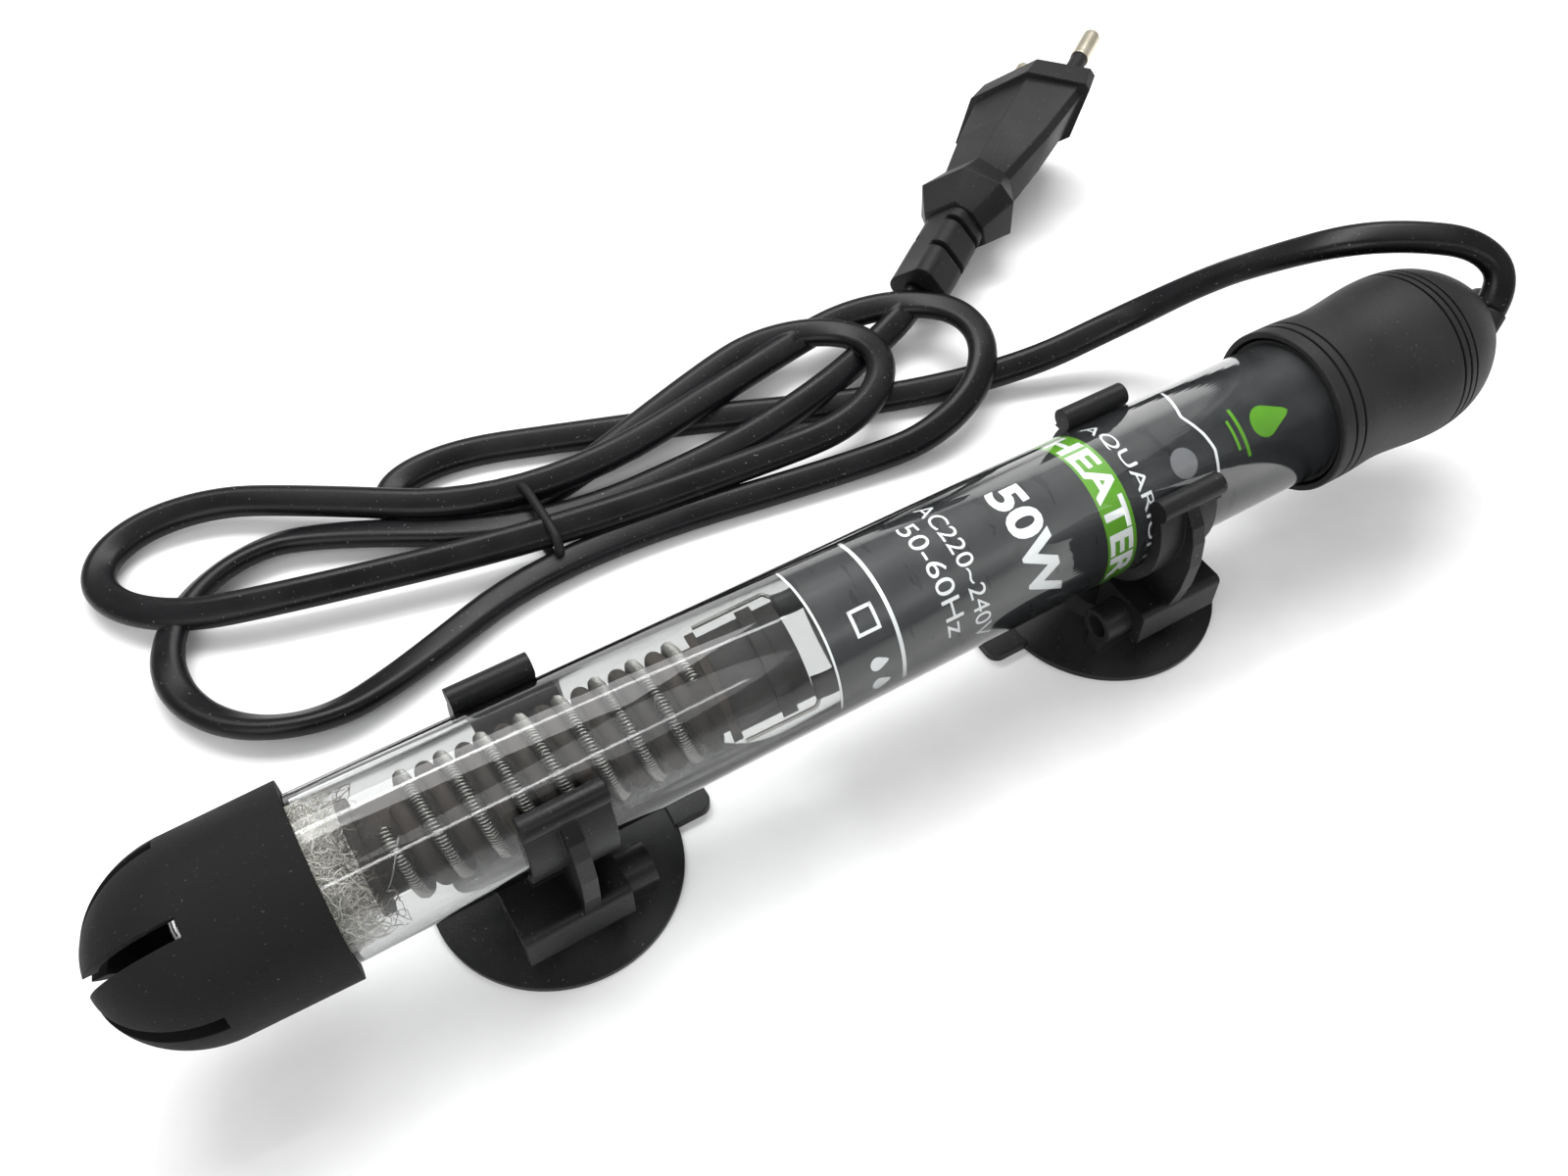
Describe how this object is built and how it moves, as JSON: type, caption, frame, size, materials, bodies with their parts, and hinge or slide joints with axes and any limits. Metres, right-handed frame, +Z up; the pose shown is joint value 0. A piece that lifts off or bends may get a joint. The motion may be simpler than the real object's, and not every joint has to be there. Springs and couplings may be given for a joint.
{
  "type": "submersible aquarium heater",
  "caption": "Glass tube heater with a slotted tip guard, soft handle cap with adjusting knob, clip holders on suction cups, and a mains cord gathered in a loose hank.",
  "frame": {"origin": "on the table under the middle of the heater, cord left out of the reckoning", "axes": "+X along the glass tube from the slotted tip guard to the knob, +Y towards the cord and plug, +Z up from the table the suction cups stand on"},
  "size_m": [0.2426, 0.1444, 0.0421],
  "materials": {
    "glass": "clear borosilicate tube",
    "guard_rubber": "matte black soft moulding",
    "cap_rubber": "matte dark grey soft moulding",
    "knob_plastic": "fine moulded grain",
    "gland_rubber": "matte",
    "seal_rubber": "grey sealing rubber",
    "label_film": "printed film, dark outside and grey inside",
    "fibre": "loose white fibre, browned by heat",
    "former_ceramic": "dark unglazed ceramic",
    "resistance_wire": "bright oxidised resistance wire",
    "collar_plastic": "dark moulded heat-proof plastic",
    "sleeve": "woven and varnished sleeve",
    "brass": "plain",
    "bimetal": "rolled strip",
    "carrier": "pale moulded plastic",
    "contact_silver": "silver contact",
    "magnet_iron": "sintered",
    "lamp_glass": "clear",
    "resistor": "lacquered",
    "wire_insulation": "silicone",
    "steel": "turned",
    "holder_plastic": "black, fine grain",
    "cup_rubber": "smooth black rubber",
    "cord_pvc": "satin black",
    "tie": "thin coated wire",
    "plug_pvc": "matte black moulding",
    "pin_metal": "nickel plated, worn"
  },
  "bodies": {
    "heater": {"glass_tube": "glass", "tip_guard": "guard_rubber", "handle_cap": "cap_rubber", "cord_gland": "gland_rubber", "seal_ring": "seal_rubber", "rubber_stopper": "gland_rubber", "label_sleeve": "label_film", "fibre_pad": "fibre", "heater_core": "former_ceramic", "heating_coil": "resistance_wire", "core_collar": "collar_plastic", "coil_leads": "resistance_wire", "lead_sleeves": "sleeve", "crimps": "brass", "thermostat_frame": "carrier", "fixed_contact": "brass", "magnet": "magnet_iron", "neon_lamp": "lamp_glass", "lamp_resistor": "resistor", "inner_wires": "wire_insulation", "knob_seal": "gland_rubber", "cord_lead": "cord_pvc", "cord_hank": "cord_pvc", "cord_tie": "tie", "cord_plug_lead": "cord_pvc", "plug_body": "plug_pvc", "plug_relief": "plug_pvc", "plug_pins": "pin_metal", "pin_sleeves": "plug_pvc"},
    "contact_arm": {"bimetal_strip": "bimetal", "moving_contact": "contact_silver"},
    "knob": {"knob": "knob_plastic", "adjusting_screw": "steel"},
    "holder_tip": {"holder_tip": "holder_plastic"},
    "holder_handle": {"holder_handle": "holder_plastic"},
    "cup_tip": {"cup_tip": "cup_rubber"},
    "cup_handle": {"cup_handle": "cup_rubber"}
  },
  "joints": [
    {"name": "tip_holder_slide", "type": "slide", "parent": "heater", "child": "holder_tip", "axis": [1, 0, 0], "range_m": [-0.018, 0.009]},
    {"name": "handle_holder_slide", "type": "slide", "parent": "heater", "child": "holder_handle", "axis": [1, 0, 0], "range_m": [-0.009, 0.02]},
    {"name": "tip_cup_slide", "type": "slide", "parent": "holder_tip", "child": "cup_tip", "axis": [1, 0, 0], "range_m": [0, 0.016]},
    {"name": "handle_cup_slide", "type": "slide", "parent": "holder_handle", "child": "cup_handle", "axis": [-1, 0, 0], "range_m": [0, 0.016]},
    {"name": "knob_turn", "type": "hinge", "parent": "heater", "child": "knob", "pos_m": [0.1146, 0.0012, 0.0252], "axis": [1, 0, 0], "range_deg": [-135, 135]},
    {"name": "contact_arm_hinge", "type": "hinge", "parent": "heater", "child": "contact_arm", "pos_m": [0.02, 0, 0.0248], "axis": [0, 1, 0], "range_deg": [-2, 1]}
  ]
}
